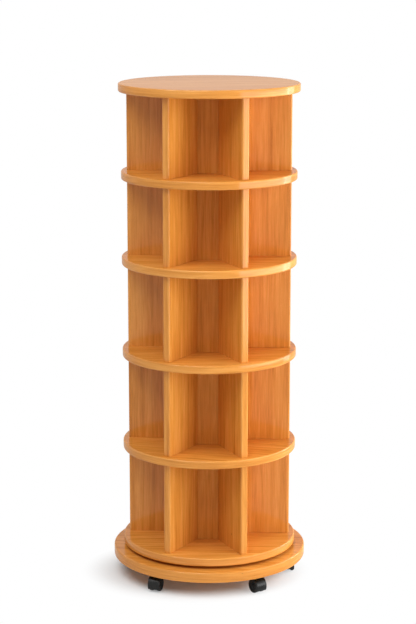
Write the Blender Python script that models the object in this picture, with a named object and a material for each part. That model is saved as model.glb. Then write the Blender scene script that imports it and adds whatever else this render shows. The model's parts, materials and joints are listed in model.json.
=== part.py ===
"""Revolving bookcase: round shelves and spoke dividers on a turntable, over a base board with casters.

Metres, +Z up. The origin is on the floor, on the axis that the shelves turn about. The front is -Y.
"""
import math

import bmesh
import bpy
from mathutils import Matrix

# Round boards
SHELF_RADIUS = 0.230
TOP_OVERHANG = 0.006
BASE_OVERHANG = 0.027
BOARD_THICKNESS = 0.0215
BASE_THICKNESS = 0.0275
BOARD_EDGE_EASE = 0.0025

# Clear height of each tier
BOTTOM_TIER_HEIGHT = 0.241
FOURTH_TIER_HEIGHT = 0.2295
THIRD_TIER_HEIGHT = 0.2245
SECOND_TIER_HEIGHT = 0.2035
TOP_TIER_HEIGHT = 0.2055

# Upright dividers, set like spokes, and the hollow core that they stand against.
# Two lie in line, left and right; the other four bound the front bay and the back bay, in degrees
FRONT_BAY_ANGLE = 56
DIVIDER_THICKNESS = 0.020
DIVIDER_INSET = 0.015
DIVIDER_EDGE_EASE = 0.004
CORE_RADIUS = 0.077
CORE_WALL = 0.012

# Turntable bearing between the base board and the bottom shelf
TURNTABLE_HEIGHT = 0.008
TRACK_RADIUS = 0.108
RING_WIDTH = 0.018
RACE_SLIT = 0.002
BALL_RADIUS = 0.0021
BALL_CLEARANCE = 0.0006
RING_CLEARANCE = 0.0008

# Casters: two at the front, this many degrees apart, then one at each side and one at the back
FRONT_CASTER_SPREAD = 72
CASTER_INSET = 0.042
CASTER_TRAIL = 0.014
WHEEL_RADIUS = 0.019
WHEEL_WIDTH = 0.009
WHEEL_EDGE_EASE = 0.0015
AXLE_RADIUS = 0.003
PIN_RADIUS = 0.003
PIN_LENGTH = 0.017
WEB_WALL = 0.0021
HOOD_WALL = 0.0024
COLLAR_WALL = 0.0046
COLLAR_HEIGHT = 0.0024
PLATE_SIDE = 0.040
PLATE_THICKNESS = 0.0025
PLATE_CORNER_RADIUS = 0.005

# Degrees round the axle, from the trailing side over the top, that the hood covers
HOOD_REAR_ANGLE = -25
HOOD_FRONT_ANGLE = 125

# Degrees that each caster trails at rest, from the front towards +X, going round from the front right
CASTER_HEADINGS = (37, 0, -60, 150, -16)

# Clearances
SEAT_GAP = 0.0003
SWIVEL_GAP = 0.0004
BORE_CLEARANCE = 0.0004
TREAD_CLEARANCE = 0.001
WHEEL_SIDE_GAP = 0.0005

# Steps round a full turn
BOARD_STEPS = 64
RING_STEPS = 48
WHEEL_STEPS = 24
BORE_STEPS = 16
ARC_STEPS = 12
CORNER_STEPS = 2

# Sizes that follow from the ones above
TOP_RADIUS = SHELF_RADIUS + TOP_OVERHANG
BASE_RADIUS = SHELF_RADIUS + BASE_OVERHANG
DIVIDER_END_RADIUS = SHELF_RADIUS - DIVIDER_INSET
DIVIDER_ANGLES = (
    -90 + FRONT_BAY_ANGLE / 2, 0, 90 - FRONT_BAY_ANGLE / 2,
    90 + FRONT_BAY_ANGLE / 2, 180, 270 - FRONT_BAY_ANGLE / 2)
CASTER_CIRCLE_RADIUS = BASE_RADIUS - CASTER_INSET
CASTER_ANGLES = (-90 + FRONT_CASTER_SPREAD / 2, 0, 90, 180, 270 - FRONT_CASTER_SPREAD / 2)
AXLE_BORE_RADIUS = AXLE_RADIUS + BORE_CLEARANCE
PIN_BORE_RADIUS = PIN_RADIUS + BORE_CLEARANCE
WEB_HALF = PIN_BORE_RADIUS + WEB_WALL
WHEEL_INNER = WEB_HALF + WHEEL_SIDE_GAP
WHEEL_OUTER = WHEEL_INNER + WHEEL_WIDTH
HOOD_INNER_RADIUS = WHEEL_RADIUS + TREAD_CLEARANCE
HOOD_OUTER_RADIUS = HOOD_INNER_RADIUS + HOOD_WALL
COLLAR_RADIUS = PIN_BORE_RADIUS + COLLAR_WALL

# Heights above the floor
HOOD_TOP = WHEEL_RADIUS + HOOD_OUTER_RADIUS + COLLAR_HEIGHT
PLATE_BOTTOM = HOOD_TOP + SWIVEL_GAP
PLATE_TOP = PLATE_BOTTOM + PLATE_THICKNESS
PIN_END = PLATE_BOTTOM - PIN_LENGTH
BASE_BOTTOM = PLATE_TOP + SEAT_GAP
BASE_TOP = BASE_BOTTOM + BASE_THICKNESS
STACK_BOTTOM = BASE_TOP + TURNTABLE_HEIGHT
TIER_HEIGHTS = (BOTTOM_TIER_HEIGHT, FOURTH_TIER_HEIGHT, THIRD_TIER_HEIGHT, SECOND_TIER_HEIGHT, TOP_TIER_HEIGHT)

# Lets a cutter run past the face that it opens
CUT_OVERRUN = 0.002


def clear_scene():
    for thing in list(bpy.data.objects):
        bpy.data.objects.remove(thing, do_unlink=True)


def make_material(name, colour, roughness, metallic):
    material = bpy.data.materials.new(name)
    material.use_nodes = True
    shader = material.node_tree.nodes["Principled BSDF"]
    shader.inputs["Base Color"].default_value = (*colour, 1.0)
    shader.inputs["Roughness"].default_value = roughness
    shader.inputs["Metallic"].default_value = metallic
    return material


def finish_mesh(name, shape, smooth):
    """Turn a bmesh into a mesh with its faces out; smooth ones keep edges over 30 degrees sharp."""
    bmesh.ops.recalc_face_normals(shape, faces=shape.faces)
    mesh = bpy.data.meshes.new(name)
    shape.to_mesh(mesh)
    shape.free()
    if smooth:
        mesh.shade_smooth()
        mesh.set_sharp_from_angle(angle=math.radians(30))
    return mesh


def arc(centre, radius, start, end, steps):
    """Points on an arc, in degrees, both ends included."""
    points = []
    for step in range(steps + 1):
        angle = math.radians(start + (end - start) * step / steps)
        points.append((centre[0] + radius * math.cos(angle), centre[1] + radius * math.sin(angle)))
    return points


def prism(name, outline, low, high, smooth=False):
    """Extrude an outline in X and Y from one height to another."""
    shape = bmesh.new()
    corners = [shape.verts.new((x, y, low)) for x, y in outline]
    face = shape.faces.new(corners)
    grown = bmesh.ops.extrude_face_region(shape, geom=[face])
    lifted = [item for item in grown["geom"] if isinstance(item, bmesh.types.BMVert)]
    bmesh.ops.translate(shape, verts=lifted, vec=(0, 0, high - low))
    return finish_mesh(name, shape, smooth)


def side_prism(name, outline, half_width):
    """Extrude an outline in X and Z to both sides of the XZ plane."""
    mesh = prism(name, outline, -half_width, half_width)
    mesh.transform(Matrix.Rotation(math.radians(90), 4, "X"))
    return mesh


def turned(name, profile, steps, closed=False):
    """Spin a profile of radius and height pairs about Z. A closed profile makes a ring."""
    shape = bmesh.new()
    points = [shape.verts.new((radius, 0, height)) for radius, height in profile]
    ends = points[1:] + points[:1] if closed else points[1:]
    edges = [shape.edges.new(pair) for pair in zip(points, ends)]
    bmesh.ops.spin(shape, geom=points + edges, axis=(0, 0, 1), cent=(0, 0, 0), angle=math.tau, steps=steps)
    bmesh.ops.remove_doubles(shape, verts=shape.verts, dist=1e-6)
    return finish_mesh(name, shape, True)


def place(name, mesh, material, location=(0, 0, 0), turn=0.0, parent=None):
    """Make one sub-part, turned in degrees about Z."""
    mesh.materials.clear()
    mesh.materials.append(material)
    part = bpy.data.objects.new(name, mesh)
    part.location = location
    part.rotation_euler = (0, 0, math.radians(turn))
    part.parent = parent
    bpy.context.scene.collection.objects.link(part)
    return part


def combine(name, steps):
    """Join and cut meshes in turn and give the resulting mesh. The first step is the starting shape."""
    helpers = []
    for operation, mesh in steps:
        helper = bpy.data.objects.new(name + "_helper", mesh)
        helper.hide_render = True
        helper.display_type = "WIRE"
        bpy.context.scene.collection.objects.link(helper)
        helpers.append(helper)
        if operation != "START":
            boolean = helpers[0].modifiers.new(operation.lower(), "BOOLEAN")
            boolean.operation = operation
            boolean.object = helper
    evaluated = helpers[0].evaluated_get(bpy.context.evaluated_depsgraph_get())
    mesh = bpy.data.meshes.new_from_object(evaluated)
    mesh.name = name
    for helper in helpers:
        bpy.data.objects.remove(helper, do_unlink=True)
    return mesh


def axis_empty(name, location, parent=None):
    empty = bpy.data.objects.new(name, None)
    empty.location = location
    empty.parent = parent
    bpy.context.scene.collection.objects.link(empty)
    return empty


def round_board(name, radius, low, thickness, material, parent):
    """A disc with both rims eased."""
    shape = bmesh.new()
    bmesh.ops.create_cone(
        shape, cap_ends=True, segments=BOARD_STEPS, radius1=radius, radius2=radius, depth=thickness)
    board = place(name, finish_mesh(name, shape, True), material, (0, 0, low + thickness / 2), parent=parent)
    ease = board.modifiers.new("eased rims", "BEVEL")
    ease.width = BOARD_EDGE_EASE
    ease.segments = 1
    ease.limit_method = "ANGLE"
    ease.angle_limit = math.radians(30)
    return board


def divider_outline():
    """Plan of one upright along +X, from the core to its eased outer end."""
    half = DIVIDER_THICKNESS / 2
    corner = DIVIDER_END_RADIUS - DIVIDER_EDGE_EASE
    side = half - DIVIDER_EDGE_EASE
    return [
        (CORE_RADIUS, half),
        (CORE_RADIUS, -half),
        *arc((corner, -side), DIVIDER_EDGE_EASE, -90, 0, CORNER_STEPS),
        *arc((corner, side), DIVIDER_EDGE_EASE, 0, 90, CORNER_STEPS),
    ]


def core_outline(inset):
    """Plan of the core, drawn in by an inset: a narrow face for each divider and a wide face between them."""
    points = []
    seat = CORE_RADIUS - SEAT_GAP - inset
    for index, turn in enumerate(DIVIDER_ANGLES):
        following = DIVIDER_ANGLES[(index + 1) % len(DIVIDER_ANGLES)]
        bay_before = (turn - DIVIDER_ANGLES[index - 1]) % 360
        bay_after = (following - turn) % 360
        angle = math.radians(turn)
        for side, bay in ((-1, bay_before), (1, bay_after)):
            reach = side * (DIVIDER_THICKNESS / 2 - inset * math.tan(math.radians(bay / 4)))
            points.append((
                seat * math.cos(angle) - reach * math.sin(angle),
                seat * math.sin(angle) + reach * math.cos(angle)))
    return points


def core_mesh(name, height):
    """The hollow core of one tier, an even wall all round."""
    outer = prism(name, core_outline(0), 0, height)
    bore = prism(name + "_bore", core_outline(CORE_WALL), -CUT_OVERRUN, height + CUT_OVERRUN)
    return combine(name, [("START", outer), ("DIFFERENCE", bore)])


def build_stack(wood):
    """The turning part: the shelves, and in each tier a core with its dividers."""
    axis = axis_empty("stack_axis", (0, 0, 0))
    tiers = len(TIER_HEIGHTS)
    round_board("bottom_shelf", SHELF_RADIUS, STACK_BOTTOM, BOARD_THICKNESS, wood, axis)
    floor = STACK_BOTTOM + BOARD_THICKNESS
    for index, clear in enumerate(TIER_HEIGHTS):
        tier = tiers - index
        height = clear - 2 * SEAT_GAP
        seat = floor + SEAT_GAP
        place(f"tier_{tier}_core", core_mesh(f"tier_{tier}_core", height), wood, (0, 0, seat), parent=axis)
        upright = prism(f"tier_{tier}_divider", divider_outline(), 0, height)
        for spoke, turn in enumerate(DIVIDER_ANGLES, 1):
            place(f"tier_{tier}_divider_{spoke}", upright, wood, (0, 0, seat), turn, axis)
        floor += clear
        if tier > 1:
            round_board(f"shelf_{tier - 1}", SHELF_RADIUS, floor, BOARD_THICKNESS, wood, axis)
        else:
            round_board("top_board", TOP_RADIUS, floor, BOARD_THICKNESS, wood, axis)
        floor += BOARD_THICKNESS
    return axis


def grooved_ring(name, wall, back, low, high, middle):
    """A bearing ring whose wall, facing the balls, has a groove for them."""
    reach = BALL_RADIUS + BALL_CLEARANCE
    opening = math.degrees(math.acos(abs(wall - TRACK_RADIUS) / reach))
    outward = 0 if wall > TRACK_RADIUS else 180
    groove = arc((TRACK_RADIUS, middle), reach, outward - opening, outward + opening, 2 * CORNER_STEPS)
    if outward:
        groove.reverse()
    return turned(name, [(back, low), (wall, low), *groove, (wall, high), (back, high)], RING_STEPS, closed=True)


def build_turntable(ring_metal, ball_metal, axis):
    """Outer ring on the base board, inner ring under the bottom shelf, balls in their cage between."""
    middle = (BASE_TOP + STACK_BOTTOM) / 2
    outer_wall = TRACK_RADIUS + RACE_SLIT / 2
    inner_wall = TRACK_RADIUS - RACE_SLIT / 2
    outer = grooved_ring(
        "turntable_outer_ring", outer_wall, outer_wall + RING_WIDTH,
        BASE_TOP + SEAT_GAP, STACK_BOTTOM - RING_CLEARANCE, middle)
    inner = grooved_ring(
        "turntable_inner_ring", inner_wall, inner_wall - RING_WIDTH,
        BASE_TOP + RING_CLEARANCE, STACK_BOTTOM - SEAT_GAP, middle)
    section = arc((TRACK_RADIUS, middle), BALL_RADIUS, 0, 360, 6)[:-1]
    balls = turned("turntable_ball_ring", section, RING_STEPS, closed=True)
    place("turntable_outer_ring", outer, ring_metal)
    place("turntable_inner_ring", inner, ring_metal, parent=axis)
    place("turntable_ball_ring", balls, ball_metal)


def plate_mesh():
    """Square top plate of a caster with its swivel pin."""
    corner = PLATE_SIDE / 2 - PLATE_CORNER_RADIUS
    outline = []
    for quarter, (side_x, side_y) in enumerate(((1, 1), (-1, 1), (-1, -1), (1, -1))):
        centre = (side_x * corner, side_y * corner)
        outline += arc(centre, PLATE_CORNER_RADIUS, 90 * quarter, 90 * quarter + 90, CORNER_STEPS)
    plate = prism("caster_plate", outline, PLATE_BOTTOM, PLATE_TOP)
    root = PLATE_BOTTOM + PLATE_THICKNESS / 2
    pin = prism("caster_pin", arc((0, 0), PIN_RADIUS, 0, 360, BORE_STEPS)[:-1], PIN_END, root)
    return combine("caster_plate", [("START", plate), ("UNION", pin)])


def hood_mesh():
    """Swivelling hood of a caster: a curved cover, the web between the wheels and the collar under the plate."""
    axle = (CASTER_TRAIL, WHEEL_RADIUS)
    web_radius = HOOD_OUTER_RADIUS - HOOD_WALL / 2
    boss_radius = AXLE_BORE_RADIUS + WEB_WALL
    nose_low = PIN_END - BORE_CLEARANCE - WEB_WALL
    cover = side_prism("cover", [
        *arc(axle, HOOD_OUTER_RADIUS, HOOD_REAR_ANGLE, HOOD_FRONT_ANGLE, ARC_STEPS),
        *arc(axle, HOOD_INNER_RADIUS, HOOD_FRONT_ANGLE, HOOD_REAR_ANGLE, ARC_STEPS)], WHEEL_OUTER)
    web = side_prism("web", [
        *arc(axle, web_radius, HOOD_REAR_ANGLE / 2, 90, ARC_STEPS),
        (-WEB_HALF, WHEEL_RADIUS + web_radius),
        (-WEB_HALF, nose_low),
        *arc(axle, boss_radius, 215, 305, ARC_STEPS // 2)], WEB_HALF)
    collar_outline = arc((0, 0), COLLAR_RADIUS, 0, 360, WHEEL_STEPS)[:-1]
    collar = prism("collar", collar_outline, WHEEL_RADIUS + HOOD_INNER_RADIUS, HOOD_TOP)
    pin_outline = arc((0, 0), PIN_BORE_RADIUS, 0, 360, BORE_STEPS)[:-1]
    pin_bore = prism("pin_bore", pin_outline, PIN_END - BORE_CLEARANCE, HOOD_TOP + CUT_OVERRUN)
    axle_outline = arc(axle, AXLE_BORE_RADIUS, 0, 360, BORE_STEPS)[:-1]
    axle_bore = side_prism("axle_bore", axle_outline, WEB_HALF + CUT_OVERRUN)
    return combine("caster_hood", [
        ("START", cover),
        ("UNION", web),
        ("UNION", collar),
        ("DIFFERENCE", pin_bore),
        ("DIFFERENCE", axle_bore)])


def wheel_mesh():
    """Twin wheels on one axle, along Y, with a flat of the faceted tread on the floor."""
    tread = WHEEL_RADIUS / math.cos(math.pi / WHEEL_STEPS)
    shoulder = tread - WHEEL_EDGE_EASE
    half = [
        (AXLE_RADIUS, WHEEL_INNER),
        (tread, WHEEL_INNER),
        (tread, WHEEL_OUTER - WHEEL_EDGE_EASE),
        (shoulder, WHEEL_OUTER),
        (0, WHEEL_OUTER),
    ]
    other = [(radius, -height) for radius, height in reversed(half)]
    mesh = turned("caster_wheels", other + half, WHEEL_STEPS)
    mesh.transform(Matrix.Rotation(math.pi / WHEEL_STEPS, 4, "Z"))
    mesh.transform(Matrix.Rotation(math.radians(90), 4, "X"))
    return mesh


def build_casters(plate_metal, hood_plastic, wheel_plastic):
    """Plates fixed under the base board, each with a trailing hood and its wheels."""
    plate = plate_mesh()
    hood = hood_mesh()
    wheels = wheel_mesh()
    for number, (around, heading) in enumerate(zip(CASTER_ANGLES, CASTER_HEADINGS), 1):
        angle = math.radians(around)
        stem = (CASTER_CIRCLE_RADIUS * math.cos(angle), CASTER_CIRCLE_RADIUS * math.sin(angle), 0)
        place(f"caster_{number}_plate", plate, plate_metal, stem, around)
        cover = place(f"caster_{number}_hood", hood, hood_plastic, stem, heading - 90)
        place(f"caster_{number}_wheels", wheels, wheel_plastic, (CASTER_TRAIL, 0, WHEEL_RADIUS), parent=cover)


def main():
    clear_scene()
    wood = make_material("honey_wood", (0.72, 0.34, 0.09), 0.35, 0.0)
    ring_metal = make_material("turntable_metal", (0.66, 0.66, 0.67), 0.4, 1.0)
    ball_metal = make_material("ball_steel", (0.55, 0.55, 0.56), 0.25, 1.0)
    plate_metal = make_material("plate_steel", (0.50, 0.50, 0.51), 0.35, 1.0)
    hood_plastic = make_material("hood_plastic", (0.012, 0.012, 0.011), 0.45, 0.0)
    wheel_plastic = make_material("wheel_plastic", (0.010, 0.010, 0.010), 0.5, 0.0)
    round_board("base_board", BASE_RADIUS, BASE_BOTTOM, BASE_THICKNESS, wood, None)
    axis = build_stack(wood)
    build_turntable(ring_metal, ball_metal, axis)
    build_casters(plate_metal, hood_plastic, wheel_plastic)


main()
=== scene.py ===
import json
import math

import bmesh
import bpy
from mathutils import Matrix, Vector


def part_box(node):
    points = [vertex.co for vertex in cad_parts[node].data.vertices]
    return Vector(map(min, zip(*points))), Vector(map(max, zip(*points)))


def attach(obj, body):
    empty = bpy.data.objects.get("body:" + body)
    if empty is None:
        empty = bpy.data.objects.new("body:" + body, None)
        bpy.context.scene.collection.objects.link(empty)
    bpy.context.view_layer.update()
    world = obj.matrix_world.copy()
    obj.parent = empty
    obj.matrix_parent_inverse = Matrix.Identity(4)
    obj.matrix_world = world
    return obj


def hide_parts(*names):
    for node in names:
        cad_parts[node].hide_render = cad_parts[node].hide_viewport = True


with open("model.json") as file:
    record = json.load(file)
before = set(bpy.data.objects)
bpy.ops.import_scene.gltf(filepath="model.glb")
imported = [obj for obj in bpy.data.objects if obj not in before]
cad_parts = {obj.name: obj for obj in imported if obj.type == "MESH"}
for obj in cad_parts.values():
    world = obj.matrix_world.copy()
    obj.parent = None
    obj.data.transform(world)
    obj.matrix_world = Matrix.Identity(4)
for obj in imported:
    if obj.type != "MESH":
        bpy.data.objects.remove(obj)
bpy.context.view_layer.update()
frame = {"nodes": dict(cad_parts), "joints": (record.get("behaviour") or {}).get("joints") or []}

joints = {joint["name"]: joint for joint in frame["joints"]}


# small helpers for node trees

def addNode(tree, kind, settings=None, inputs=None):
    made = tree.nodes.new(kind)
    for name, value in (settings or {}).items():
        setattr(made, name, value)
    for socket, value in (inputs or {}).items():
        if isinstance(value, bpy.types.NodeSocket):
            tree.links.new(value, made.inputs[socket])
        else:
            made.inputs[socket].default_value = value
    return made


def mathNode(tree, operation, first, second=0.0, third=0.0, clamp=False):
    made = addNode(tree, "ShaderNodeMath", {"operation": operation, "use_clamp": clamp},
                   {0: first, 1: second, 2: third})
    return made.outputs[0]


def vectorNode(tree, operation, first, second=(0.0, 0.0, 0.0)):
    made = addNode(tree, "ShaderNodeVectorMath", {"operation": operation}, {0: first, 1: second})
    return made.outputs["Value" if operation == "LENGTH" else "Vector"]


def swayNode(tree, value, weight, middle, clamp=False):
    # the middle, pushed up or down by how far the value lies from a half
    return mathNode(tree, "MULTIPLY_ADD", mathNode(tree, "SUBTRACT", value, 0.5), weight, middle, clamp)


def remapNode(tree, value, fromLow, fromHigh, toLow, toHigh):
    made = addNode(tree, "ShaderNodeMapRange", {"interpolation_type": "SMOOTHSTEP"},
                   {0: value, 1: fromLow, 2: fromHigh, 3: toLow, 4: toHigh})
    return made.outputs[0]


def noiseNode(tree, vector, scale, detail, roughness=0.5):
    made = addNode(tree, "ShaderNodeTexNoise", inputs={
        "Vector": vectorNode(tree, "MULTIPLY", vector, scale),
        "Scale": 1.0, "Detail": detail, "Roughness": roughness})
    return made.outputs["Fac"]


def rampNode(tree, value, stops):
    made = addNode(tree, "ShaderNodeValToRGB", inputs={0: value})
    first, last = made.color_ramp.elements
    first.position, first.color = stops[0]
    last.position, last.color = stops[-1]
    for position, colour in stops[1:-1]:
        made.color_ramp.elements.new(position).color = colour
    return made.outputs["Color"]


def newMaterial(name):
    made = bpy.data.materials.new(name)
    made.use_nodes = True
    shader = made.node_tree.nodes["Principled BSDF"]
    return made, made.node_tree, shader


def addBump(tree, shader, height, look):
    bump = addNode(tree, "ShaderNodeBump", inputs={
        "Height": height, "Strength": look["bump"], "Distance": look["bumpHeight"]})
    tree.links.new(bump.outputs["Normal"], shader.inputs["Normal"])


# small helpers for meshes

meshLook = {"mergeWithin": 5e-6, "levelWithin": 1e-9, "sharpFrom": 32, "easeSteps": 2, "easeProfile": 0.5}


def linkObject(name, mesh, material=None):
    made = bpy.data.objects.new(name, mesh)
    bpy.context.scene.collection.objects.link(made)
    if material:
        mesh.materials.clear()
        mesh.materials.append(material)
    return made


def smoothMesh(mesh):
    mesh.shade_smooth()
    mesh.set_sharp_from_angle(angle=math.radians(meshLook["sharpFrom"]))


def meshFromBmesh(name, shape):
    # merging also closes the seam of a turned shape
    bmesh.ops.remove_doubles(shape, verts=shape.verts, dist=meshLook["mergeWithin"])
    bmesh.ops.recalc_face_normals(shape, faces=shape.faces)
    mesh = bpy.data.meshes.new(name)
    shape.to_mesh(mesh)
    shape.free()
    smoothMesh(mesh)
    return mesh


def joinMeshes(name, meshes):
    shape = bmesh.new()
    for mesh in meshes:
        shape.from_mesh(mesh)
    joined = bpy.data.meshes.new(name)
    shape.to_mesh(joined)
    shape.free()
    smoothMesh(joined)
    return joined


def placedCopy(mesh, name, matrix):
    made = mesh.copy()
    made.name = name
    made.transform(matrix)
    return made


def arcPoints(centre, radius, start, end, steps):
    points = []
    for step in range(steps + 1):
        angle = math.radians(start + (end - start) * step / steps)
        points.append((centre[0] + radius * math.cos(angle), centre[1] + radius * math.sin(angle)))
    return points


def turnedMesh(name, profile, steps, closed=False):
    # radius and height pairs, spun about Z
    shape = bmesh.new()
    points = [shape.verts.new((radius, 0, height)) for radius, height in profile]
    ends = points[1:] + points[:1] if closed else points[1:]
    edges = [shape.edges.new(pair) for pair in zip(points, ends)]
    bmesh.ops.spin(shape, geom=points + edges, axis=(0, 0, 1), cent=(0, 0, 0), angle=math.tau, steps=steps)
    return meshFromBmesh(name, shape)


def easeEdges(shape, edges, width):
    bmesh.ops.bevel(shape, geom=edges, offset=width, segments=meshLook["easeSteps"],
                    profile=meshLook["easeProfile"], affect="EDGES")


def extrudedMesh(name, outline, low, high, ease=0.0):
    shape = bmesh.new()
    face = shape.faces.new([shape.verts.new((x, y, low)) for x, y in outline])
    grown = bmesh.ops.extrude_face_region(shape, geom=[face])
    lifted = [item for item in grown["geom"] if isinstance(item, bmesh.types.BMVert)]
    bmesh.ops.translate(shape, verts=lifted, vec=(0, 0, high - low))
    if ease:
        level = meshLook["levelWithin"]
        rims = [edge for edge in shape.edges if abs(edge.verts[0].co.z - edge.verts[1].co.z) < level]
        easeEdges(shape, rims, ease)
    return meshFromBmesh(name, shape)


def bridgeRings(shape, rings):
    # faces between each ring of points and the next
    for ring, nextRing in zip(rings, rings[1:]):
        for spot in range(len(ring)):
            after = (spot + 1) % len(ring)
            shape.faces.new((ring[spot], ring[after], nextRing[after], nextRing[spot]))


def plainMesh(source, modifier):
    # what the modifier makes, as a mesh of its own, with the modifier and its object gone
    bpy.context.view_layer.update()
    evaluated = source.evaluated_get(bpy.context.evaluated_depsgraph_get())
    made = bpy.data.meshes.new_from_object(evaluated)
    source.modifiers.remove(modifier)
    bpy.data.objects.remove(source)
    return made


def cutMesh(mesh, cutter):
    solid = linkObject("cutSolid", mesh)
    tool = linkObject("cutTool", cutter)
    cut = solid.modifiers.new("cut", "BOOLEAN")
    cut.object = tool
    made = plainMesh(solid, cut)
    bpy.data.objects.remove(tool)
    smoothMesh(made)
    return made


def finishPiece(name, mesh, material, body, nodes):
    piece = linkObject(name, mesh, material)
    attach(piece, body)
    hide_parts(*nodes)


# geometry nodes: one source mesh set round Z, with a shift that narrows the front and back bays

def ringTree():
    tree = bpy.data.node_groups.new("ringOf", "GeometryNodeTree")
    sockets = (("Geometry", "Geometry"), ("Count", "Int"), ("Radius", "Float"), ("First angle", "Float"),
               ("Bay shift", "Float"), ("First seed", "Float"), ("Material", "Material"))
    for name, kind in sockets:
        tree.interface.new_socket(name, in_out="INPUT", socket_type="NodeSocket" + kind)
    tree.interface.new_socket("Geometry", in_out="OUTPUT", socket_type="NodeSocketGeometry")
    given = addNode(tree, "NodeGroupInput").outputs
    index = addNode(tree, "GeometryNodeInputIndex").outputs[0]
    step = mathNode(tree, "DIVIDE", math.tau, given["Count"])
    even = mathNode(tree, "MULTIPLY_ADD", index, step, given["First angle"])
    # of every three copies the first turns back and the last turns on
    third = mathNode(tree, "SUBTRACT", mathNode(tree, "MODULO", index, 3.0), 1.0)
    turn = mathNode(tree, "MULTIPLY_ADD", third, given["Bay shift"], even)
    spot = addNode(tree, "ShaderNodeCombineXYZ", inputs={
        0: mathNode(tree, "MULTIPLY", mathNode(tree, "COSINE", turn), given["Radius"]),
        1: mathNode(tree, "MULTIPLY", mathNode(tree, "SINE", turn), given["Radius"])})
    points = addNode(tree, "GeometryNodePoints", inputs={
        "Count": given["Count"], "Position": spot.outputs[0]})
    facing = addNode(tree, "ShaderNodeCombineXYZ", inputs={2: turn})
    spread = addNode(tree, "GeometryNodeInstanceOnPoints", inputs={
        "Points": points.outputs[0], "Instance": given["Geometry"], "Rotation": facing.outputs[0]})
    # each copy keeps its own seed
    seed = mathNode(tree, "ADD", index, given["First seed"])
    stored = addNode(tree, "GeometryNodeStoreNamedAttribute", {"data_type": "FLOAT", "domain": "INSTANCE"},
                     {"Geometry": spread.outputs[0], "Name": "ringSeed", "Value": seed})
    real = addNode(tree, "GeometryNodeRealizeInstances", inputs={0: stored.outputs[0]})
    own = addNode(tree, "GeometryNodeInputNamedAttribute", {"data_type": "FLOAT"}, {"Name": "ringSeed"})
    seeded = addNode(tree, "GeometryNodeStoreNamedAttribute", {"data_type": "FLOAT", "domain": "POINT"},
                     {"Geometry": real.outputs[0], "Name": "pieceSeed", "Value": own.outputs[0]})
    finish = addNode(tree, "GeometryNodeSetMaterial", inputs={
        "Geometry": seeded.outputs[0], "Material": given["Material"]})
    last = addNode(tree, "NodeGroupOutput")
    tree.links.new(finish.outputs[0], last.inputs[0])
    return tree


def setRound(mesh, material, values):
    # set inputs by socket identifier, evaluate once, keep the plain mesh
    source = linkObject(mesh.name + "Source", mesh, material)
    modifier = source.modifiers.new("nodes", "NODES")
    modifier.node_group = ringOf
    wanted = {
        "Radius": 0.0, "First angle": 0.0, "Bay shift": 0.0, "First seed": 0.0,
        "Material": material, **values}
    for item in ringOf.interface.items_tree:
        if item.in_out == "INPUT" and item.name in wanted:
            modifier[item.identifier] = wanted[item.name]
    return plainMesh(source, modifier)


ringOf = ringTree()


# honey varnished wood, read from each plank's own grain coordinates

woodLook = {
    "dark": (0.500, 0.172, 0.020, 1), "middle": (0.660, 0.260, 0.042, 1), "light": (0.770, 0.346, 0.076, 1),
    "meanTone": 0.58, "plankTone": 0.20, "plankWidth": 0.092, "plankJump": (7.0, 7.0, 7.0),
    # streaks: waves per metre across and along the grain, and weight
    "layers": ((22, 1.6, 0.8), (70, 2.6, 0.95), (150, 6.0, 1.1), (330, 17.0, 0.9), (700, 14.0, 0.4)),
    "layerDetail": 2.0, "layerRoughness": 0.55,
    "lineBend": 5.5, "lineDepth": 60.0, "linePitch": 62.0, "lineSharpness": 4.0, "lineTone": -0.22,
    "seamWidth": 0.0012, "seamCore": 0.3, "seamShade": 0.86,
    "poreGrain": (1500, 1500, 60.0), "poreDetail": 1.0, "poreRange": (0.24, 0.36), "poreShade": 0.86,
    "knotStretch": 0.6, "knotRange": (0.4, 1.3), "knotShade": 0.34, "noKnot": (9.0, 9.0, 0.001),
    "roughness": 0.45, "roughSway": 0.14, "bump": 0.10, "bumpHeight": 0.0004, "specular": 0.0,
    "coat": 0.46, "coreCoat": 0.10, "coatRoughness": 0.12, "coatIor": 1.6,
}


def writeGrain(mesh, grainOf, seed):
    # each face corner's place in its own plank: across, through and along the grain, in metres
    places = []
    for face in mesh.polygons:
        for vertex in face.vertices:
            places.extend(grainOf(mesh.vertices[vertex].co, face))
    seeds = [seed] * len(mesh.vertices)
    mesh.attributes.new("grainCo", "FLOAT_VECTOR", "CORNER").data.foreach_set("vector", places)
    mesh.attributes.new("pieceSeed", "FLOAT", "POINT").data.foreach_set("value", seeds)


def writeKnots(mesh, knots):
    # across, along and size of the one knot of each plank, by the plank's seed, or far off the wood
    seeds = [round(item.value) for item in mesh.attributes["pieceSeed"].data]
    places = [value for seed in seeds for value in knots.get(seed, woodLook["noKnot"])]
    mesh.attributes.new("knotCo", "FLOAT_VECTOR", "POINT").data.foreach_set("vector", places)


def grainStreaks(tree, vector):
    # streaks of five widths, each drawn out along the grain: their tone, the broadest and the finest
    tone = woodLook["meanTone"]
    layers = []
    for across, along, weight in woodLook["layers"]:
        layer = noiseNode(tree, vector, (across, across, along),
                          woodLook["layerDetail"], woodLook["layerRoughness"])
        tone = swayNode(tree, layer, weight, tone)
        layers.append(layer)
    return tone, layers[0], layers[-1]


def growthLines(tree, place, broad):
    # a slow bend of the grain, sharpened to thin late-wood streaks
    depth = mathNode(tree, "MULTIPLY", place["Y"], woodLook["lineDepth"])
    bend = mathNode(tree, "MULTIPLY_ADD", broad, woodLook["lineBend"], depth)
    phase = mathNode(tree, "MULTIPLY_ADD", place["X"], woodLook["linePitch"], bend)
    return mathNode(tree, "POWER", mathNode(tree, "PINGPONG", phase, 1.0), woodLook["lineSharpness"])


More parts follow.
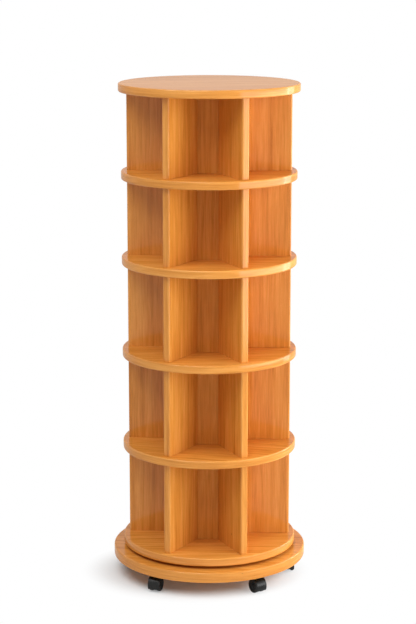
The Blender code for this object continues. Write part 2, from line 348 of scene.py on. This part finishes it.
def knotShade(tree, place):
    # darkens a small oval round the plank's knot
    spot = addNode(tree, "ShaderNodeAttribute", {"attribute_name": "knotCo"}).outputs["Vector"]
    knot = addNode(tree, "ShaderNodeSeparateXYZ", inputs={0: spot}).outputs
    aside = mathNode(tree, "DIVIDE", mathNode(tree, "SUBTRACT", place["X"], knot["X"]), knot["Z"])
    above = mathNode(tree, "DIVIDE", mathNode(tree, "SUBTRACT", place["Z"], knot["Y"]), knot["Z"])
    tall = mathNode(tree, "MULTIPLY", above, woodLook["knotStretch"])
    square = mathNode(tree, "MULTIPLY_ADD", aside, aside, mathNode(tree, "MULTIPLY", tall, tall))
    return remapNode(tree, mathNode(tree, "SQRT", square), *woodLook["knotRange"], woodLook["knotShade"], 1.0)


def honeyWood(name, coat):
    material, tree, shader = newMaterial(name)
    grain = addNode(tree, "ShaderNodeAttribute", {"attribute_name": "grainCo"}).outputs["Vector"]
    seed = addNode(tree, "ShaderNodeAttribute", {"attribute_name": "pieceSeed"}).outputs["Fac"]
    place = addNode(tree, "ShaderNodeSeparateXYZ", inputs={0: grain}).outputs

    # each plank has a tone and a stretch of grain of its own
    row = mathNode(tree, "DIVIDE", place["X"], woodLook["plankWidth"])
    plank = mathNode(tree, "FLOOR", row)
    plankKey = addNode(tree, "ShaderNodeCombineXYZ", inputs={0: plank, 1: seed})
    chance = addNode(tree, "ShaderNodeTexWhiteNoise", {"noise_dimensions": "2D"}, {0: plankKey.outputs[0]})
    jump = vectorNode(tree, "MULTIPLY", chance.outputs["Color"], woodLook["plankJump"])
    shifted = vectorNode(tree, "ADD", grain, jump)
    tone, broad, fibres = grainStreaks(tree, shifted)
    tone = mathNode(tree, "MULTIPLY_ADD", growthLines(tree, place, broad), woodLook["lineTone"], tone)
    tone = swayNode(tree, chance.outputs["Value"], woodLook["plankTone"], tone, True)
    colour = rampNode(tree, tone, (
        (0.0, woodLook["dark"]), (0.5, woodLook["middle"]), (1.0, woodLook["light"])))

    # glue seams between planks, short dark pores and now and then a small knot
    within = mathNode(tree, "SUBTRACT", row, plank)
    edge = mathNode(tree, "MINIMUM", within, mathNode(tree, "SUBTRACT", 1.0, within))
    seamHalf = woodLook["seamWidth"] / woodLook["plankWidth"] / 2
    seam = remapNode(tree, edge, seamHalf * woodLook["seamCore"], seamHalf, woodLook["seamShade"], 1.0)
    pores = noiseNode(tree, shifted, woodLook["poreGrain"], woodLook["poreDetail"])
    pore = remapNode(tree, pores, *woodLook["poreRange"], woodLook["poreShade"], 1.0)
    shade = mathNode(tree, "MULTIPLY", mathNode(tree, "MULTIPLY", seam, pore), knotShade(tree, place))
    shaded = addNode(tree, "ShaderNodeMix", {"data_type": "RGBA", "blend_type": "MULTIPLY"})
    shaded.inputs["Factor"].default_value = 1.0
    # colours go in at 6 and 7 and come out at 2
    tree.links.new(colour, shaded.inputs[6])
    tree.links.new(shade, shaded.inputs[7])
    tree.links.new(shaded.outputs[2], shader.inputs["Base Color"])

    # satin wood under a clear varnish
    rough = swayNode(tree, fibres, woodLook["roughSway"], woodLook["roughness"])
    tree.links.new(rough, shader.inputs["Roughness"])
    relief = mathNode(tree, "MULTIPLY", mathNode(tree, "ADD", fibres, pore), seam)
    addBump(tree, shader, relief, woodLook)
    shader.inputs["Specular IOR Level"].default_value = woodLook["specular"]
    shader.inputs["Coat Weight"].default_value = coat
    shader.inputs["Coat Roughness"].default_value = woodLook["coatRoughness"]
    shader.inputs["Coat IOR"].default_value = woodLook["coatIor"]
    return material


wood = honeyWood("honeyWood", woodLook["coat"])
coreWood = honeyWood("coreWood", woodLook["coreCoat"])   # the bays' back walls have a thinner varnish
print("wood ready")


# round boards: full discs with softly rounded rims

boardLook = {
    "rimRound": 0.0034, "roundSteps": 8, "support": 0.0006, "around": 256, "firstSeed": 20,
    "grainTurn": (8, -5, 11, -9, 4, 2, -6), "grainStep": 0.03,   # degrees by board, metres between boards
    "flatFrom": 0.8, "rimStart": 5.0, "rimKnot": (22.4, 0.0062, 0.0010),   # the knot's angle, drop and size
}
boardNodes = ["base_board", "bottom_shelf", "shelf_4", "shelf_3", "shelf_2", "shelf_1", "top_board"]


def roundBoard(node, number):
    low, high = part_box(node)
    radius = (high.x - low.x) / 2
    turn = boardLook["rimRound"]
    inner = radius - turn
    steps = boardLook["roundSteps"]
    profile = [
        (0, low.z), (inner - boardLook["support"], low.z),
        *arcPoints((inner, low.z + turn), turn, -90, 0, steps),
        *arcPoints((inner, high.z - turn), turn, 0, 90, steps),
        (inner - boardLook["support"], high.z), (0, high.z)]
    mesh = turnedMesh(node, profile, boardLook["around"])
    middle = (low.z + high.z) / 2
    lie = Matrix.Rotation(math.radians(boardLook["grainTurn"][number]), 2)
    seed = boardLook["firstSeed"] + number

    def rimGrain(angle, height):
        return height - middle + woodLook["plankWidth"] / 2, radius * angle + boardLook["rimStart"]

    def grainOf(co, face):
        if abs(face.normal.z) > boardLook["flatFrom"]:
            along, across = lie @ co.xy
            return across + boardLook["grainStep"] * number, co.z - middle, along
        # round the rim the grain follows the edge
        facing = math.atan2(face.center.x, -face.center.y)
        angle = facing + math.remainder(math.atan2(co.x, -co.y) - facing, math.tau)
        across, along = rimGrain(angle, co.z)
        return across, co.xy.length - radius, along

    writeGrain(mesh, grainOf, seed)
    knots = {}
    if node == "base_board":
        # one small knot near the top of the front rim
        angle, drop, size = boardLook["rimKnot"]
        across, along = rimGrain(math.radians(angle), high.z - drop)
        knots[seed] = (across, along, size)
    writeKnots(mesh, knots)
    body = "base" if node == "base_board" else "stack"
    finishPiece(node + "_visual", mesh, wood, body, [node])


for boardNumber, boardNode in enumerate(boardNodes):
    roundBoard(boardNode, boardNumber)
print("boards ready", len(boardNodes))


# uprights: one eased plank, set round the core like spokes

uprightLook = {
    "tiers": 5, "spokes": 6, "frontBay": 56.0, "ease": 0.0040, "easeSteps": 6, "support": 0.0005,
    "seamShare": 0.553, "firstSeed": 40, "tierSeeds": 7,
    "knotTier": 5, "knotSpoke": 0, "knotSize": 0.0016, "knot": (0.0066, 0.165),   # across, share of height
}


def uprightPlank(tier):
    low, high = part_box(f"tier_{tier}_divider_2")   # this one lies along +X
    half = (high.y - low.y) / 2
    ease = uprightLook["ease"]
    support = uprightLook["support"]
    corner = high.x - ease
    side = half - ease
    steps = uprightLook["easeSteps"]
    outline = [
        (low.x, half), (low.x, -half), (corner - support, -half),
        *arcPoints((corner, -side), ease, -90, 0, steps),
        (high.x, -side + support), (high.x, side - support),
        *arcPoints((corner, side), ease, 0, 90, steps), (corner - support, half)]
    mesh = extrudedMesh(f"tier{tier}Plank", outline, low.z, high.z)
    seamAt = low.x + (high.x - low.x) * uprightLook["seamShare"]
    writeGrain(mesh, lambda co, face: (co.x - seamAt, co.y, co.z - low.z), 0.0)
    return mesh, high.z - low.z


def tierUprights(tier):
    plank, height = uprightPlank(tier)
    count = uprightLook["spokes"]
    firstSeed = uprightLook["firstSeed"] + uprightLook["tierSeeds"] * tier
    mesh = setRound(plank, wood, {
        "Count": count, "First angle": -math.tau / count, "First seed": float(firstSeed),
        "Bay shift": math.radians(180 / count - uprightLook["frontBay"] / 2)})
    knots = {}
    if tier == uprightLook["knotTier"]:
        across, share = uprightLook["knot"]
        knots[firstSeed + uprightLook["knotSpoke"]] = (across, share * height, uprightLook["knotSize"])
    writeKnots(mesh, knots)
    nodes = [f"tier_{tier}_divider_{spoke}" for spoke in range(1, count + 1)]
    finishPiece(f"tier_{tier}_uprights_visual", mesh, wood, "stack", nodes)


for tierNumber in range(1, uprightLook["tiers"] + 1):
    tierUprights(tierNumber)
print("uprights ready")


# cores: six wide faces between the uprights, with the hollow left open inside

coreLook = {"wall": 0.012, "grainShift": 0.046, "firstSeed": 90.0}


def corePlan(seat, half, inset):
    bay = uprightLook["frontBay"]
    angles = (-90 + bay / 2, 0, 90 - bay / 2, 90 + bay / 2, 180, 270 - bay / 2)
    plan = []
    for index, angle in enumerate(angles):
        # a corner bends by half the angle to the next upright, and its mitre halves that again
        before = (angle - angles[index - 1]) % 360
        after = (angles[(index + 1) % len(angles)] - angle) % 360
        turn = Matrix.Rotation(math.radians(angle), 2)
        plan.append(turn @ Vector((seat - inset, inset * math.tan(math.radians(before / 4)) - half)))
        plan.append(turn @ Vector((seat - inset, half - inset * math.tan(math.radians(after / 4)))))
    return plan


def tierCore(tier):
    node = f"tier_{tier}_core"
    low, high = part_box(node)
    lowUpright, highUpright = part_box(f"tier_{tier}_divider_2")
    half = (highUpright.y - lowUpright.y) / 2
    outside = corePlan(high.x, half, 0.0)
    inside = corePlan(high.x, half, coreLook["wall"])
    shape = bmesh.new()
    rings = []
    for plan, height in ((outside, low.z), (outside, high.z), (inside, high.z), (inside, low.z)):
        rings.append([shape.verts.new((spot.x, spot.y, height)) for spot in plan])
    bridgeRings(shape, rings + rings[:1])
    mesh = meshFromBmesh(node, shape)
    shift = coreLook["grainShift"]
    writeGrain(mesh, lambda co, face: (co.x + shift, co.y, co.z - low.z), coreLook["firstSeed"] + tier)
    writeKnots(mesh, {})
    finishPiece(node + "_visual", mesh, coreWood, "stack", [node])


for tierNumber in range(1, uprightLook["tiers"] + 1):
    tierCore(tierNumber)
print("cores ready")


# metal: rolled aluminium for the bearing rings, steel for the balls, zinc for the caster plates

metalLook = {
    "cloudDetail": 4.0, "cloudRoughness": 0.6, "speckGrain": (2400, 2400, 2400), "speckDetail": 1.0,
    "speckTone": 0.4, "toneRange": (0.3, 0.7), "bump": 0.08, "bumpHeight": 0.0002,
    "ring": {"name": "ringAluminium", "colours": ((0.58, 0.58, 0.59, 1), (0.72, 0.72, 0.73, 1)),
             "grain": (26, 26, 900), "rough": (0.30, 0.46)},
    "ball": {"name": "ballSteel", "colours": ((0.50, 0.50, 0.51, 1), (0.62, 0.62, 0.63, 1)),
             "grain": (180, 180, 180), "rough": (0.14, 0.26)},
    "plate": {"name": "plateZinc", "colours": ((0.42, 0.42, 0.43, 1), (0.58, 0.58, 0.57, 1)),
              "grain": (160, 160, 160), "rough": (0.28, 0.44)},
}


def plainMetal(look):
    material, tree, shader = newMaterial(look["name"])
    spot = addNode(tree, "ShaderNodeTexCoord").outputs["Object"]
    cloud = noiseNode(tree, spot, look["grain"], metalLook["cloudDetail"], metalLook["cloudRoughness"])
    speck = noiseNode(tree, spot, metalLook["speckGrain"], metalLook["speckDetail"])
    tone = swayNode(tree, speck, metalLook["speckTone"], cloud, True)
    colour = rampNode(tree, tone, tuple(zip(metalLook["toneRange"], look["colours"])))
    tree.links.new(colour, shader.inputs["Base Color"])
    rough = remapNode(tree, tone, *metalLook["toneRange"], *look["rough"])
    tree.links.new(rough, shader.inputs["Roughness"])
    addBump(tree, shader, tone, metalLook)
    shader.inputs["Metallic"].default_value = 1.0
    return material


ringMetal = plainMetal(metalLook["ring"])
ballMetal = plainMetal(metalLook["ball"])
plateMetal = plainMetal(metalLook["plate"])


# turntable: two grooved rings with eased edges, and balls held in a thin cage between them

turntableLook = {
    "track": 0.108, "slit": 0.002, "reach": 0.0027, "grooveSteps": 10, "ease": 0.0005, "around": 192,
    "balls": 60, "ballRadius": 0.0020, "ballSteps": 12, "ballAround": 20,
    "cageHalf": 0.0005, "cageHeight": 0.0022,
}
lowBalls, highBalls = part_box("turntable_ball_ring")
trackHeight = (lowBalls.z + highBalls.z) / 2


def bearingRing(node, wall, body):
    low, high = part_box(node)
    track = turntableLook["track"]
    reach = turntableLook["reach"]
    ease = turntableLook["ease"]
    opening = math.degrees(math.acos(abs(wall - track) / reach))
    outward = wall > track
    radii = [point.co.xy.length for point in frame["nodes"][node].data.vertices]
    back = high.x if outward else min(radii)
    facing = 0 if outward else 180
    groove = arcPoints((track, trackHeight), reach, facing - opening, facing + opening,
                       turntableLook["grooveSteps"])
    if not outward:
        groove.reverse()
    side = ease if outward else -ease
    profile = [
        (back - side, low.z), (wall + side, low.z), (wall, low.z + ease), *groove,
        (wall, high.z - ease), (wall + side, high.z), (back - side, high.z),
        (back, high.z - ease), (back, low.z + ease)]
    mesh = turnedMesh(node, profile, turntableLook["around"], closed=True)
    finishPiece(node + "_visual", mesh, ringMetal, body, [node])


def ballCage():
    track = turntableLook["track"]
    inner = track - turntableLook["cageHalf"]
    outer = track + turntableLook["cageHalf"]
    low = trackHeight - turntableLook["cageHeight"] / 2
    high = trackHeight + turntableLook["cageHeight"] / 2
    cage = turnedMesh("ballCage", [(inner, low), (outer, low), (outer, high), (inner, high)],
                      turntableLook["around"], closed=True)
    outline = arcPoints((0, trackHeight), turntableLook["ballRadius"], -90, 90, turntableLook["ballSteps"])
    ball = turnedMesh("ball", outline, turntableLook["ballAround"])
    balls = setRound(ball, ballMetal, {"Count": turntableLook["balls"], "Radius": track})
    mesh = joinMeshes("turntableBalls", [cage, balls])
    node = "turntable_ball_ring"
    finishPiece(node + "_visual", mesh, ballMetal, "ball_ring", [node])


bearingRing("turntable_outer_ring", turntableLook["track"] + turntableLook["slit"] / 2, "base")
bearingRing("turntable_inner_ring", turntableLook["track"] - turntableLook["slit"] / 2, "stack")
ballCage()
print("turntable ready")


# moulded black plastic, with a faint fine texture

plasticLook = {
    "cloudGrain": (90, 90, 90), "cloudDetail": 3.0, "cloudRoughness": 0.6, "colourRange": (0.35, 0.70),
    "roughRange": (0.3, 0.7), "textureGrain": (1800, 1800, 1800), "textureDetail": 2.0,
    "bump": 0.06, "bumpHeight": 0.0002,
    "hood": {"name": "hoodPlastic", "colours": ((0.004, 0.004, 0.003, 1), (0.008, 0.007, 0.006, 1)),
             "rough": (0.24, 0.36), "specular": 0.30},
    "wheel": {"name": "wheelPlastic", "colours": ((0.003, 0.003, 0.003, 1), (0.006, 0.006, 0.005, 1)),
              "rough": (0.34, 0.50), "specular": 0.16},
}


def mouldedPlastic(look):
    material, tree, shader = newMaterial(look["name"])
    spot = addNode(tree, "ShaderNodeTexCoord").outputs["Object"]
    cloud = noiseNode(tree, spot, plasticLook["cloudGrain"], plasticLook["cloudDetail"],
                      plasticLook["cloudRoughness"])
    texture = noiseNode(tree, spot, plasticLook["textureGrain"], plasticLook["textureDetail"])
    colour = rampNode(tree, cloud, tuple(zip(plasticLook["colourRange"], look["colours"])))
    tree.links.new(colour, shader.inputs["Base Color"])
    rough = remapNode(tree, cloud, *plasticLook["roughRange"], *look["rough"])
    tree.links.new(rough, shader.inputs["Roughness"])
    addBump(tree, shader, texture, plasticLook)
    shader.inputs["Specular IOR Level"].default_value = look["specular"]
    return material


hoodPlastic = mouldedPlastic(plasticLook["hood"])
wheelPlastic = mouldedPlastic(plasticLook["wheel"])


# caster hoods: a cover over the wheels, a bored web between them and a collar for the pin

hoodLook = {
    "radius": 0.0226, "inner": 0.0201, "half": 0.0166, "round": 0.0032, "roundSteps": 6,
    "lip": 0.0010, "lipRadius": 0.0176, "lipEase": 0.0006, "endEase": 0.0004,
    "sweepFrom": -28, "sweepTo": 127, "sweepSteps": 30,
    "webHalf": 0.0052, "webRadius": 0.0210, "webFrom": -14, "webSteps": 16,
    "webLow": 0.0056, "webEase": 0.0006,
    "boss": 0.0062, "bossFrom": 215, "bossTo": 305, "bossSteps": 8, "axleBore": 0.0032,
    "collar": 0.0080, "collarBore": 0.0036, "collarEase": 0.0005, "around": 40,
}
axleTurn = Matrix.Rotation(math.radians(90), 4, "X")   # lays what stands along Z along Y, as the axle lies


def sideMesh(name, outline, half, ease):
    # an outline in X and Z, drawn out to both sides along Y
    mesh = extrudedMesh(name, outline, -half, half, ease)
    mesh.transform(axleTurn)
    return mesh


def hoodCover(trail, rise):
    # a U-shaped section swept round the axle
    half = hoodLook["half"]
    turn = hoodLook["round"]
    radius = hoodLook["radius"]
    inner = hoodLook["inner"]
    lip = half - hoodLook["lip"]
    low = hoodLook["lipRadius"]
    ease = hoodLook["lipEase"]
    right = [(half, low), *arcPoints((half - turn, radius - turn), turn, 0, 90, hoodLook["roundSteps"])]
    left = [(-y, r) for y, r in reversed(right)]
    section = right + left + [
        (-lip, low), (-lip, inner - ease), (ease - lip, inner),
        (lip - ease, inner), (lip, inner - ease), (lip, low)]
    start, end = hoodLook["sweepFrom"], hoodLook["sweepTo"]
    steps = hoodLook["sweepSteps"]
    shape = bmesh.new()
    rings = []
    for step in range(steps + 1):
        angle = math.radians(start + (end - start) * step / steps)
        out, up = math.cos(angle), math.sin(angle)
        rings.append([shape.verts.new((trail + r * out, y, rise + r * up)) for y, r in section])
    bridgeRings(shape, rings)
    ends = [shape.faces.new(rings[0]), shape.faces.new(list(reversed(rings[-1])))]
    easeEdges(shape, [edge for face in ends for edge in face.edges], hoodLook["endEase"])
    return meshFromBmesh("hoodCover", shape)


def hoodWeb(trail, rise):
    # from the cover to just before the pin, with a round boss and a bore at the axle
    axle = (trail, rise)
    half = hoodLook["webHalf"]
    radius = hoodLook["webRadius"]
    outline = [
        *arcPoints(axle, radius, hoodLook["webFrom"], 90, hoodLook["webSteps"]),
        (-half, rise + radius), (-half, rise + hoodLook["webLow"]),
        *arcPoints(axle, hoodLook["boss"], hoodLook["bossFrom"], hoodLook["bossTo"], hoodLook["bossSteps"])]
    bore = hoodLook["axleBore"]
    reach = 2 * half
    drill = turnedMesh("drill", [(0, -reach), (bore, -reach), (bore, reach), (0, reach)], hoodLook["around"])
    drill.transform(Matrix.Translation((trail, 0, rise)) @ axleTurn)
    return cutMesh(sideMesh("web", outline, half, hoodLook["webEase"]), drill)


def hoodMesh(trail, rise, top):
    bore = hoodLook["collarBore"]
    radius = hoodLook["collar"]
    ease = hoodLook["collarEase"]
    low = rise + hoodLook["inner"]
    collar = turnedMesh("collar", [
        (bore, low), (radius, low), (radius, top - ease), (radius - ease, top), (bore, top)],
        hoodLook["around"], closed=True)
    return joinMeshes("hood", [hoodCover(trail, rise), hoodWeb(trail, rise), collar])


# caster wheels: twin wheels on one axle, with rounded treads and dished faces

wheelLook = {
    "inner": 0.0062, "outer": 0.0150, "axle": 0.0028, "around": 72,
    "innerRound": 0.0012, "innerFrom": -60, "innerSteps": 3,
    "treadRound": 0.0028, "treadTo": 80, "treadSteps": 6,
    "face": ((0.0138, -0.0002), (0.0130, -0.0009), (0.0066, -0.0012), (0.0060, -0.0004),
             (0.0052, 0.0), (0.0025, 0.0002), (0.0, 0.0002)),   # radius, and height above the outer side
}


def wheelMesh(trail, rise):
    outer = wheelLook["outer"]
    inner = wheelLook["inner"]
    small = wheelLook["innerRound"]
    large = wheelLook["treadRound"]
    half = [
        (wheelLook["axle"], inner), (rise - small, inner),
        *arcPoints((rise - small, inner + small), small, wheelLook["innerFrom"], 0, wheelLook["innerSteps"]),
        *arcPoints((rise - large, outer - large), large, 0, wheelLook["treadTo"], wheelLook["treadSteps"]),
        *[(radius, outer + height) for radius, height in wheelLook["face"]]]
    other = [(radius, -height) for radius, height in reversed(half)]
    mesh = turnedMesh("wheels", other + half, wheelLook["around"])
    mesh.transform(axleTurn)
    mesh.transform(Matrix.Translation((trail, 0, rise)))
    return mesh


# caster plates: a rounded square with the head of the swivel pin and four crosshead screws

plateLook = {
    "gap": 0.0004, "side": 0.040, "corner": 0.005, "cornerSteps": 6, "ease": 0.0004,
    "pin": 0.0030, "pinDepth": 0.0016, "pinSeat": 0.0005, "around": 28,
    "screws": 4, "screwAt": 0.0203, "screwTurn": 45, "screwRadius": 0.0033, "screwRise": 0.0014,
    "screwDome": ((0.0, 0.0), (0.5, 0.0001), (0.85, 0.0005), (1.0, 0.0010)),   # share of the radius, height
    "slotWide": 0.0008, "slotLong": 0.0040, "slotDeep": 0.0009, "slotOver": 0.001,
}


def screwHead(low):
    # a pan head below the plate with a crossed slot
    radius = plateLook["screwRadius"]
    drop = low - plateLook["screwRise"]
    dome = [(radius * share, drop + height) for share, height in plateLook["screwDome"]]
    head = turnedMesh("screwHead", dome + [(radius, low), (0, low)], plateLook["around"])
    wide = plateLook["slotWide"] / 2
    long = plateLook["slotLong"] / 2
    arm = [(long, -wide), (long, wide), (wide, wide)]
    cross = []
    for quarter in range(4):
        cross += arm
        arm = [(-y, x) for x, y in arm]
    slot = extrudedMesh("slot", cross, drop - plateLook["slotOver"], drop + plateLook["slotDeep"])
    return cutMesh(head, slot)


def plateMesh(low, high):
    corner = plateLook["side"] / 2 - plateLook["corner"]
    outline = []
    for quarter, (sideX, sideY) in enumerate(((1, 1), (-1, 1), (-1, -1), (1, -1))):
        outline += arcPoints((sideX * corner, sideY * corner), plateLook["corner"],
                             90 * quarter, 90 * quarter + 90, plateLook["cornerSteps"])
    plate = extrudedMesh("plate", outline, low, high, plateLook["ease"])
    radius = plateLook["pin"]
    pinLow = low - plateLook["pinDepth"]
    pinHigh = low + plateLook["pinSeat"]
    pin = turnedMesh("pin", [(0, pinLow), (radius, pinLow), (radius, pinHigh), (0, pinHigh)],
                     plateLook["around"])
    screws = setRound(screwHead(low), plateMetal, {
        "Count": plateLook["screws"], "Radius": plateLook["screwAt"],
        "First angle": math.radians(plateLook["screwTurn"])})
    return joinMeshes("plate", [plate, pin, screws])


# casters: made once, then turned to each caster's own heading

casterLook = {"count": 5}


def buildCasters():
    turned, rolled = joints["caster_1_turn"]["pos_m"], joints["caster_1_roll"]["pos_m"]
    trail = (Vector(rolled).xy - Vector(turned).xy).length
    rise = rolled[2]
    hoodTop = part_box("caster_1_hood")[1].z
    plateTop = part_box("caster_1_plate")[1].z
    hood = hoodMesh(trail, rise, hoodTop)
    wheels = wheelMesh(trail, rise)
    plate = plateMesh(hoodTop + plateLook["gap"], plateTop)
    for number in range(1, casterLook["count"] + 1):
        stem = Vector(joints[f"caster_{number}_turn"]["pos_m"]).xy
        lead = Vector(joints[f"caster_{number}_roll"]["pos_m"]).xy - stem
        place = Matrix.Translation((stem.x, stem.y, 0))
        facing = place @ Matrix.Rotation(math.atan2(lead.y, lead.x), 4, "Z")
        fixed = place @ Matrix.Rotation(math.atan2(stem.y, stem.x), 4, "Z")
        name = f"caster_{number}"
        finishPiece(name + "_hood_visual", placedCopy(hood, name + "Hood", facing), hoodPlastic,
                    name + "_swivel", [name + "_hood"])
        finishPiece(name + "_wheels_visual", placedCopy(wheels, name + "Wheels", facing), wheelPlastic,
                    name + "_rollers", [name + "_wheels"])
        finishPiece(name + "_plate_visual", placedCopy(plate, name + "Plate", fixed), plateMetal,
                    "base", [name + "_plate"])


buildCasters()
print("casters ready")


# stage, light and camera

stageLook = {
    "floorSize": 60.0, "floorColour": (0.80, 0.80, 0.80, 1), "clearAt": (-0.035, -0.026, 0.0),
    "clearShape": (1.0, 1.2, 1.0), "clearFrom": 0.175, "clearTo": 0.315, "skyLow": 0.48, "skyHigh": 0.10,
}
boxLook = {
    "keyBox": {"side": 80.0, "away": 2.6, "height": 0.65, "aim": 0.65, "wide": 4.2, "tall": 1.2,
               "radiance": 4.1, "mirrored": True},
    "highKeyBox": {"side": 80.0, "away": 2.6, "height": 1.85, "aim": 1.85, "wide": 4.2, "tall": 1.2,
                   "radiance": 4.1, "mirrored": False},   # mirrored, it would wash out the top from the left
    "stripBox": {"side": 122.0, "away": 2.6, "height": 1.0, "aim": 1.0, "wide": 0.8, "tall": 2.4,
                 "radiance": 4.5, "mirrored": True},
    "fillBox": {"side": -30.0, "away": 2.4, "height": 4.2, "aim": 0.4, "wide": 3.4, "tall": 3.0,
                "radiance": 4.5, "mirrored": True},
}
cameraLook = {
    "photoHeight": 624, "focalPixels": 1838.4, "sensor": 36.0, "distance": 4.7615, "height": 1.7185,
    "pitch": 11.959, "azimuth": 2.9, "sidePixels": -1.3,
}


def seenRays(tree):
    # 1 where the camera, a gloss or glass looks, 0 where light is gathered
    path = addNode(tree, "ShaderNodeLightPath").outputs
    seen = mathNode(tree, "MAXIMUM", path["Is Camera Ray"], path["Is Glossy Ray"])
    return mathNode(tree, "MAXIMUM", seen, path["Is Transmission Ray"])


def buildFloor():
    half = stageLook["floorSize"] / 2
    corners = [(-half, -half, 0), (half, -half, 0), (half, half, 0), (-half, half, 0)]
    mesh = bpy.data.meshes.new("floor")
    mesh.from_pydata(corners, [], [(0, 1, 2, 3)])
    material, tree, shader = newMaterial("paleFloor")
    shader.inputs["Base Color"].default_value = stageLook["floorColour"]
    shader.inputs["Roughness"].default_value = 1.0
    shader.inputs["Specular IOR Level"].default_value = 0.0
    # the object's own shadow is kept only close to it: further out, for the camera and gloss only, the floor
    # is painted white over any shadow that falls there
    spot = addNode(tree, "ShaderNodeTexCoord").outputs["Object"]
    moved = vectorNode(tree, "SUBTRACT", spot, stageLook["clearAt"])
    away = vectorNode(tree, "LENGTH", vectorNode(tree, "MULTIPLY", moved, stageLook["clearShape"]))
    clear = remapNode(tree, away, stageLook["clearFrom"], stageLook["clearTo"], 0.0, 1.0)
    factor = mathNode(tree, "MULTIPLY", clear, seenRays(tree))
    white = addNode(tree, "ShaderNodeEmission", inputs={"Strength": 1.0})
    mixed = addNode(tree, "ShaderNodeMixShader", inputs={
        0: factor, 1: shader.outputs[0], 2: white.outputs[0]})
    tree.links.new(mixed.outputs[0], tree.nodes["Material Output"].inputs["Surface"])
    linkObject("floor", mesh, material)


def buildWorld():
    # seen white, with soft light that comes mostly from low round about
    world = bpy.data.worlds.new("studio")
    world.use_nodes = True
    tree = world.node_tree
    background = tree.nodes["Background"]
    background.inputs["Color"].default_value = (1, 1, 1, 1)
    direction = addNode(tree, "ShaderNodeTexCoord").outputs["Generated"]
    rise = addNode(tree, "ShaderNodeSeparateXYZ", inputs={0: direction}).outputs["Z"]
    soft = remapNode(tree, rise, 0.0, 1.0, stageLook["skyLow"], stageLook["skyHigh"])
    strength = addNode(tree, "ShaderNodeMapRange", inputs={0: seenRays(tree), 3: soft, 4: 1.0})
    tree.links.new(strength.outputs[0], background.inputs["Strength"])
    bpy.context.scene.world = world


def buildBoxes():
    # soft boxes: a large one at the right in two halves, a narrow one behind it, one high at the front left
    for name, look in boxLook.items():
        box = bpy.data.lights.new(name, "AREA")
        box.shape = "RECTANGLE"
        box.size = look["wide"]
        box.size_y = look["tall"]
        box.energy = math.pi * look["radiance"] * look["wide"] * look["tall"]
        lamp = bpy.data.objects.new(name, box)
        side = math.radians(look["side"])
        lamp.location = (math.sin(side) * look["away"], -math.cos(side) * look["away"], look["height"])
        drop = math.atan2(look["height"] - look["aim"], look["away"])
        lamp.rotation_euler = (math.radians(90) - drop, 0, side)
        lamp.visible_glossy = look["mirrored"]
        bpy.context.scene.collection.objects.link(lamp)


def buildCamera():
    turn = math.radians(cameraLook["azimuth"])
    pitch = math.radians(cameraLook["pitch"])
    lens = bpy.data.cameras.new("camera")
    lens.sensor_fit = "AUTO"
    lens.sensor_width = cameraLook["sensor"]
    lens.lens = cameraLook["focalPixels"] / cameraLook["photoHeight"] * lens.sensor_width
    away = cameraLook["distance"]
    aside = cameraLook["sidePixels"] * away / cameraLook["focalPixels"]
    camera = bpy.data.objects.new("camera", lens)
    camera.location = (
        math.sin(turn) * away + math.cos(turn) * aside,
        -math.cos(turn) * away + math.sin(turn) * aside, cameraLook["height"])
    camera.rotation_euler = (math.radians(90) - pitch, 0, turn)
    bpy.context.scene.collection.objects.link(camera)
    bpy.context.scene.camera = camera


buildFloor()
buildWorld()
buildBoxes()
buildCamera()
bpy.context.scene.view_settings.view_transform = "Standard"
print("stage ready")
